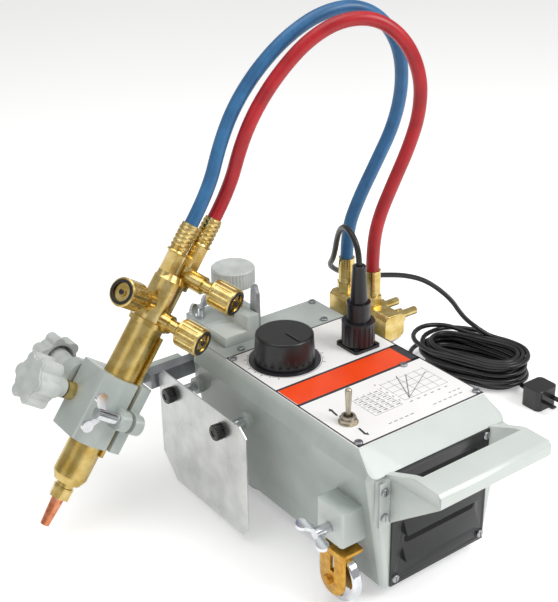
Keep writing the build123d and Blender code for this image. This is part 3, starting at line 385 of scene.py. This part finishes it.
# ------------------------------------------------------------------ hoses and lead
TILT = math.radians(35.8)
TIP = Vector((-244.2, 230.0, 15.6))
LEAN = Matrix(((math.cos(TILT), 0, math.sin(TILT)), (0, 1, 0), (-math.sin(TILT), 0, math.cos(TILT)))).to_4x4()
# The torch's own place: its tip at the origin, its barrel along +Z, its rack along +Y.
TORCH = Matrix.Translation(TIP) @ LEAN


def torch_spot(u, v, w):
    """A point of the torch's own place as a layout point."""
    return TORCH @ Vector((u, v, w))


FUEL_WAY = [torch_spot(13, 0, 315), torch_spot(13, 0, 345), (-24, 220, 332), (-10, 214, 364), (10, 206, 394),
            (34, 196, 420), (62, 185, 435), (92, 173, 434), (117, 163, 413), (131, 157, 380), (131, 157, 345),
            (122, 161, 312), (109, 166, 280), (97, 171, 248), (92, 173, 220), (92, 173, 194)]
OXYGEN_WAY = [torch_spot(-7, 0, 301), torch_spot(-7, 0, 335), (-39, 232, 331), (-24, 229, 364), (-2, 223, 395),
              (26, 216, 421), (58, 209, 438), (93, 202, 441), (122, 197, 424), (140, 195, 394), (145, 197, 358),
              (139, 201, 322), (123, 206, 288), (104, 210, 252), (92, 212, 222), (92, 212, 194)]
HOSE_RADIUS = 0.0064


def smooth_line(points, steps=10):
    """The points of the smooth spline that a list of control points in metres steers."""
    curve = bpy.data.curves.new("way", "CURVE")
    curve.dimensions = "3D"
    curve.resolution_u = steps
    spline = curve.splines.new("NURBS")
    spline.points.add(len(points) - 1)
    for p, co in zip(spline.points, points):
        p.co = (*co, 1)
    spline.order_u = 3
    spline.use_endpoint_u = True
    holder = bpy.data.objects.new("way", curve)
    scene.collection.objects.link(holder)
    bpy.context.view_layer.update()
    read = bpy.data.meshes.new_from_object(holder.evaluated_get(bpy.context.evaluated_depsgraph_get()))
    line = [v.co.copy() for v in read.vertices]
    bpy.data.objects.remove(holder)
    bpy.data.meshes.remove(read)
    return line


def tube_along(name, line, radius, sides):
    """A round closed tube along read points, as a mesh."""
    curve = bpy.data.curves.new(name, "CURVE")
    curve.dimensions = "3D"
    curve.bevel_depth = radius
    curve.bevel_resolution = sides
    curve.use_fill_caps = True
    spline = curve.splines.new("POLY")
    spline.points.add(len(line) - 1)
    for p, co in zip(spline.points, line):
        p.co = (*co, 1)
    holder = bpy.data.objects.new(name, curve)
    scene.collection.objects.link(holder)
    settle()
    holder.select_set(True)
    bpy.context.view_layer.objects.active = holder
    bpy.ops.object.convert(target="MESH")
    piece = bpy.context.object
    piece.name = name
    bpy.ops.object.shade_smooth_by_angle(angle=math.radians(45))
    settle()
    return piece


def hose(name, way, material, node):
    """A gas hose in three lengths, each a fixed tube laid in the shared frame."""
    line = smooth_line([spot(*p) for p in way], 12)
    last = len(line) - 1
    cuts = (0, last // 3, 2 * last // 3, last)
    for k in range(3):
        part = line[cuts[k]:cuts[k + 1] + 1]
        piece = tube_along(f"{name}_length_{k + 1}", part, HOSE_RADIUS, 5)
        piece.data.materials.append(material)
        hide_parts(node)
        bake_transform(piece)


hose("fuel_hose", FUEL_WAY, HOSE_RED, "fuel_hose")
hose("oxygen_hose", OXYGEN_WAY, HOSE_BLUE, "oxygen_hose")

HANK_MIDDLE = Vector((280.0, 210.0))
HANK_TURN = math.radians(-71)
HANK_REACH = 32.0
LEAD_RADIUS = 2.75
LANES = (31.5, 25.5, 19.5)
STRAIGHT_SHARE = 42.0  # degrees of winding from the middle of a side to where its fold begins
QUARTER = 90
SIDE_BOW = 2.0
LAYER_RISE = 6.0
LAYERS = 6
TURN_PER_LAYER = 960
WINDING_START = 24
WINDING_STEP = 24
LAST_LAYER_TURN = 624
HANK_LAG = 12  # degrees by which the winding starts before the middle of its side
HANK_ALONG = Vector((math.cos(HANK_TURN), math.sin(HANK_TURN)))
HANK_ACROSS = Vector((-math.sin(HANK_TURN), math.cos(HANK_TURN)))


def ease(a, b, x):
    """0 before a, 1 after b, and a smooth step between."""
    t = min(max((x - a) / (b - a), 0), 1)
    return t * t * (3 - 2 * t)


def wander(layer, angle):
    """How far a layer of the hank strays from its even shape: its own slow wave."""
    return 1.6 * math.sin(angle + 1.7 * layer) + 0.7 * math.sin(2 * angle + 2.9 * layer)


# Loops that stick out of the hank: degrees wound when each is furthest out, how far, how wide, how high.
LOOSE_LOOPS = ((270, 17, 85, 5), (1050, 6, 75, 0), (1780, 15, 85, 0), (2910, 8, 75, 0), (3890, 20, 90, 0))


def hank_spot(wound):
    """The lead's place in the hank after it has gone round by so many degrees, from the top layer down. Each
    layer has three lanes, filled outside in and then inside out, and some loops stick out."""
    layer = min(int(wound // TURN_PER_LAYER), LAYERS - 1)
    here = wound - layer * TURN_PER_LAYER
    angle = math.radians(wound - HANK_LAG)
    lane = ease(200, 340, here) + ease(560, 700, here)
    down = ease(850, 960, here)
    if layer % 2:
        lane = 2 - lane
    r = LANES[0] + (LANES[2] - LANES[0]) * lane / 2
    r += wander(layer, angle) * (1 - down) + wander(layer + 1, angle) * down
    z = LEAD_RADIUS + 0.2 + LAYER_RISE * (LAYERS - 1 - layer - down)
    for top, out, wide, lift in LOOSE_LOOPS:
        near = max(0, 1 - abs(wound - top) / wide)
        near = near * near * (3 - 2 * near)
        r += out * near
        z += lift * near
    side = 1 if math.cos(angle) >= 0 else -1
    past = (wound - HANK_LAG + QUARTER) % (2 * QUARTER) - QUARTER
    shift = HANK_REACH * min(max(past / STRAIGHT_SHARE, -1), 1)
    into_fold = max(0, abs(past) - STRAIGHT_SHARE) / (QUARTER - STRAIGHT_SHARE)
    fold = math.copysign(math.radians(QUARTER * into_fold), past)
    bow = SIDE_BOW * (1 - (past / QUARTER) ** 2)
    flat = HANK_MIDDLE + HANK_ALONG * side * (shift + r * math.sin(fold))
    flat += HANK_ACROSS * side * (r * math.cos(fold) + bow)
    return (flat.x, flat.y, z)


LEAD_WAY = [(41, 133, 226.4), (41, 134, 238), (41, 140, 249), (43, 151, 255), (47, 163, 253), (52, 175, 244),
            (59, 187, 230), (66, 198, 214), (73, 210, 198), (81, 226, 184), (95, 233, 172), (114, 236, 161),
            (139, 236, 152), (165, 235, 146), (191, 233, 139), (217, 232, 127), (241, 232, 109), (263, 232, 88),
            (279, 235, 68), (291, 234, 54), (301, 228, 44), (308, 218, 37)]
WOUND = TURN_PER_LAYER * (LAYERS - 1) + LAST_LAYER_TURN
LEAD_WAY += [hank_spot(a) for a in range(WINDING_START, WOUND + 1, WINDING_STEP)]
LEAD_WAY += [(313, 172, 3), (307, 160, 3.5), (299, 152, 5), (291, 146, 8), (286.5, 138, 11), (286, 129, 12)]

lead_curve = bpy.data.curves.new("mains_lead", "CURVE")
lead_curve.dimensions = "3D"
lead_curve.bevel_depth = LEAD_RADIUS / 1000
lead_curve.bevel_resolution = 3
lead_curve.resolution_u = 4
lead_curve.use_fill_caps = True
lead_line = lead_curve.splines.new("NURBS")
lead_line.points.add(len(LEAD_WAY) - 1)
for point, where in zip(lead_line.points, LEAD_WAY):
    point.co = (*spot(*where), 1)
lead_line.order_u = 3
lead_line.use_endpoint_u = True
lead = bpy.data.objects.new("mains_lead", lead_curve)
scene.collection.objects.link(lead)
lead_curve.materials.append(PVC_BLACK)
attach(lead, "carriage")
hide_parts("power_cable", "cable_coil")

# ------------------------------------------------------------------ printing on the panel
PANEL_TOP = 145.0
INK_DEPTH = 0.12
SUNK = 0.02
TABLE_ROW = 5.4


def line_bar(x0, y0, x1, y1, width):
    """One printed line between two panel points."""
    along = Vector((x1 - x0, y1 - y0))
    side = Vector((-along.y, along.x)).normalized() * width / 2
    corners = [Vector((x0, y0)) + side, Vector((x0, y0)) - side, Vector((x1, y1)) - side, Vector((x1, y1)) + side]
    return outline("print", [tuple(c) for c in corners], INK_DEPTH)


def dash_row(x, y, length, gap, count, width=0.8, step=(1, 0)):
    """A row of short printed marks."""
    bars = []
    for k in range(count):
        px, py = x + k * gap * step[0], y + k * gap * step[1]
        bars.append(line_bar(px, py, px + length * step[0], py + length * step[1], width))
    return bars


def flat_ring(name, inner, outer, depth, segments=64):
    """A thin printed ring."""
    settle()
    bpy.ops.mesh.primitive_circle_add(vertices=segments, radius=inner)
    piece = bpy.context.object
    piece.name = name
    bpy.ops.object.mode_set(mode="EDIT")
    bpy.ops.mesh.select_all(action="SELECT")
    bpy.ops.mesh.extrude_region_move()
    bpy.ops.transform.resize(value=(outer / inner, outer / inner, 1), center_override=(0, 0, 0))
    bpy.ops.mesh.select_all(action="SELECT")
    bpy.ops.mesh.extrude_region_move(TRANSFORM_OT_translate={"value": (0, 0, depth)})
    settle()
    return piece


ink = []
# Dark border of the whole panel and of the orange band.
for x0, y0, x1, y1, w in ((-70, 0.9, 70, 0.9, 1.8), (-70, 187.2, 70, 187.2, 1.4),
                          (-69.3, 0, -69.3, 188, 1.4), (69.3, 0, 69.3, 188, 1.4),
                          (-69.4, 80.5, 69.4, 80.5, 3.0), (-69.4, 111.8, 69.4, 111.8, 2.6),
                          (65, 80, 65, 112, 9.0)):
    ink.append(line_bar(x0, y0, x1, y1, w))
chart = []
# A table of short entries, then a graph: its grid, a fan of three lines and its scales.
for row in range(6):
    chart += dash_row(-26 + row * 0.4, 58 - row * TABLE_ROW, 4.2, 7.2, 4, 1.0)
    chart.append(line_bar(-28, 55.2 - row * TABLE_ROW, 2, 55.2 - row * TABLE_ROW, 0.28))
for x in (-28, -21, -14, -7, 2):
    chart.append(line_bar(x, 61, x, 28.2, 0.28))
for row in range(5):
    chart.append(line_bar(8, 32 + row * 8, 58, 32 + row * 8, 0.3))
for column in range(6):
    chart.append(line_bar(8 + column * 10, 32, 8 + column * 10, 66, 0.3))
chart += [line_bar(14, 33, 30, 68, 0.9), line_bar(14, 33, 38, 64, 0.9), line_bar(14, 33, 56, 58, 0.6)]
chart += dash_row(10, 27.5, 3.0, 8.0, 6, 1.0)
chart += dash_row(4.6, 34, 2.2, 8.0, 5, 1.0, (0, 1))
chart += dash_row(-28, 12, 3.6, 6.0, 5, 0.9)
chart += dash_row(22, 12, 3.6, 6.0, 6, 0.9)
chart += dash_row(46, 18, 3.0, 5.0, 3, 0.8)
# The two direction marks beside the switch.
for cy, turn in ((53, 1), (17, -1)):
    ink.append(line_bar(-53, cy - 5, -51.5, cy + 5, 2.0))
    head = [(-54.4, cy + 4.2 * turn), (-50.0, cy + 4.2 * turn), (-51.4, cy + 8 * turn)]
    ink.append(outline("print", head[::turn], INK_DEPTH))
# The dial scale round the speed knob, left out where the panel's edge cuts it.
KNOB = (-29.0, 153.0)
DIAL_START = -45
DIAL_STEP = 13.5
for inner, outer in ((34.0, 34.35), (31.6, 32.0)):
    circle = flat_ring("print", inner, outer, INK_DEPTH)
    ink.append(place(circle, Matrix.Translation((*KNOB, 0))))
for k in range(21):
    a = math.radians(DIAL_START + k * DIAL_STEP)
    if abs(KNOB[0] + 38 * math.cos(a)) > 68 or KNOB[1] + 38 * math.sin(a) > 186:
        continue
    reach = 37.5 if k % 2 == 0 else 36
    ink.append(line_bar(KNOB[0] + 34.6 * math.cos(a), KNOB[1] + 34.6 * math.sin(a),
                        KNOB[0] + reach * math.cos(a), KNOB[1] + reach * math.sin(a), 0.6))
for name, marks, material in (("panel_borders_and_marks", ink, PRINT_INK), ("panel_chart", chart, CHART_INK)):
    lines = joined(name, marks)
    place(lines, Matrix.Translation((0, 0, PANEL_TOP - SUNK)))
    hand_over(lines, "carriage", material, "panel_white")
band = slab("panel_orange_band", (-68.0, 82.0, PANEL_TOP - SUNK), (60.6, 110.5, PANEL_TOP + 0.09))
hand_over(band, "carriage", BAND_ORANGE, "panel_white")

# ------------------------------------------------------------------ torch fittings
def torch_place(u, v, w, along, across=None):
    """A place in the torch's own frame: at a point, with its Z along a direction."""
    return TORCH @ facing((u, v, w), along, across)


def ferrule(name, u, foot, top):
    """A hose ferrule: a ribbed sleeve above a rounded collar."""
    rings = [(6.6, 0), (9.2, 0.3), (9.9, 1.4), (9.2, 2.6), (7.9, 3.0), (7.9, 5.0)]
    height = 5.0
    while height < top - foot - 4:
        rings += [(8.7, height + 0.8), (8.7, height + 2.6), (8.0, height + 3.4)]
        height += 4.2
    rings += [(8.2, top - foot - 1.2), (7.6, top - foot - 0.2), (6.5, top - foot + 0.1)]
    piece = eased(turned(name, rings, 40), 0)
    place(piece, torch_place(u, 0, foot, (0, 0, 1)))
    return hand_over(piece, "torch", BRASS, "brass")


ferrule("oxygen_ferrule", -7, 272.2, 300.8)
ferrule("fuel_ferrule", 13, 287.2, 314.8)
# Each valve knob's face: a black ring let into the brass, and the dark end of its spindle.
PREHEAT_SIDE = math.radians(180 + 19)
OTHER_SIDE = math.radians(-66)
VALVES = (("preheat_oxygen_valve", (0, 0, 223.6), (math.cos(PREHEAT_SIDE), math.sin(PREHEAT_SIDE), 0)),
          ("fuel_valve", (13, 0, 257), (math.cos(OTHER_SIDE), math.sin(OTHER_SIDE), 0)),
          ("cutting_oxygen_valve", (0, 0, 213), (math.cos(OTHER_SIDE), math.sin(OTHER_SIDE), 0)))
KNOB_FACE = 57.9
for node, foot, along in VALVES:
    seat = Vector(foot) + Vector(along) * KNOB_FACE
    ring = flat_ring(node + "_black_ring", 8.6, 11.2, 0.7)
    dot = turned(node + "_spindle_end", [(2.4, 0), (2.4, 0.8), (1.6, 1.2)], 24)
    marks = joined(node + "_ring", [ring, dot])
    place(marks, torch_place(*seat, along))
    hand_over(eased(marks, 0.15, 1), node, PHENOLIC, "black_plastic")

# ------------------------------------------------------------------ shield fittings and painted shade in the vent slots
SHIELD_FACE = -105.2
SCREW_HEIGHT = 101.5
VENT_FACE = -24.4
VENT_REACH = 36
VENT_END = 4.2

for k, y in enumerate((147, 228)):
    rings = [(3.0, 0), (6.6, 0.2), (7.5, 1.0), (7.5, 6.6), (6.8, 7.6), (3.2, 8.0), (3.0, 7.2), (1.5, 7.0)]
    knurled = turned(f"shield_thumbscrew_{k + 1}", rings, teeth=22, bite=0.9, span=(0.9, 6.7))
    place(eased(knurled, 0), facing((SHIELD_FACE, y, SCREW_HEIGHT), (-1, 0, 0)))
    hand_over(knurled, "carriage", PHENOLIC, "black_plastic", *(["shield_thumbscrews"] if k == 0 else []))
# Three stadium-shaped near-black strips laid on the vent face: painted shade where the louvre openings fall into
# shadow.
for k, z in enumerate((52.5, 79.5, 106.5)):
    rim = []
    for step in range(25):
        a = math.radians(-90 + step * 7.5)
        rim.append((VENT_REACH + VENT_END * math.cos(a), VENT_END + VENT_END * math.sin(a)))
    rim += [(-x, 2 * VENT_END - y) for x, y in rim]
    slot = outline(f"vent_slot_painted_shade_{k + 1}", rim, 0.25)
    place(slot, facing((0, VENT_FACE, z), (0, -1, 0), (1, 0, 0)))
    hand_over(eased(slot, 0), "carriage", VENT_PAINTED_SHADE, "black_sheet")

# ------------------------------------------------------------------ finishes on the other pieces
BY_SLOT = {"casing_paint": CAST_ENAMEL, "panel_white": PANEL_WHITE, "black_sheet": POWDER_BLACK,
           "black_plastic": PHENOLIC, "grey_plastic": NYLON_GREY, "steel": STEEL, "chrome": CHROME,
           "zinc_yellow": ZINC_YELLOW, "stainless": STAINLESS, "brass": BRASS, "copper": COPPER,
           "gear_steel": GEAR_STEEL, "circuit": BOARD_GREEN, "hose_red": HOSE_RED, "hose_blue": HOSE_BLUE,
           "cable_black": PVC_BLACK}
SLOT_OF = {row["node"]: row["material_slot"] for row in frame["record"]["subparts"]}
OWN_FINISH = {"torch_barrel": BARREL_BRASS, "deck_cover": SHEET_ENAMEL, "cross_bar": RAW_BAR,
              "toggle_lever": SWITCH_NICKEL, "toggle_switch": SWITCH_NICKEL}
# Castings and turned pieces whose edges are rounded: node, body, edge radius in millimetres.
ROUNDED = (("torch_clamp", "torch_clamp", 1.2), ("gas_manifold", "carriage", 0.9),
           ("crossfeed_housing", "carriage", 1.2), ("end_handle", "carriage", 1.0),
           ("bevel_arm", "cross_bar", 0.8), ("lift_knob", "lift_shaft", 1.2), ("bevel_knob", "bevel_knob", 1.2),
           ("guide_fork", "guide_fork", 0.5), ("manifold_bracket", "carriage", 0.4),
           ("vent_cover", "carriage", 0.6))
for node, body, edge in ROUNDED:
    piece = softened_cad(node, edge)
    hand_over(piece, body, OWN_FINISH.get(node) or BY_SLOT[SLOT_OF[node]], SLOT_OF[node], node)
for name, thing in frame["nodes"].items():
    material = OWN_FINISH.get(name) or BY_SLOT[SLOT_OF[name]]
    if not thing.data.materials:
        thing.data.materials.append(material)
    for k in range(len(thing.data.materials)):
        thing.data.materials[k] = material
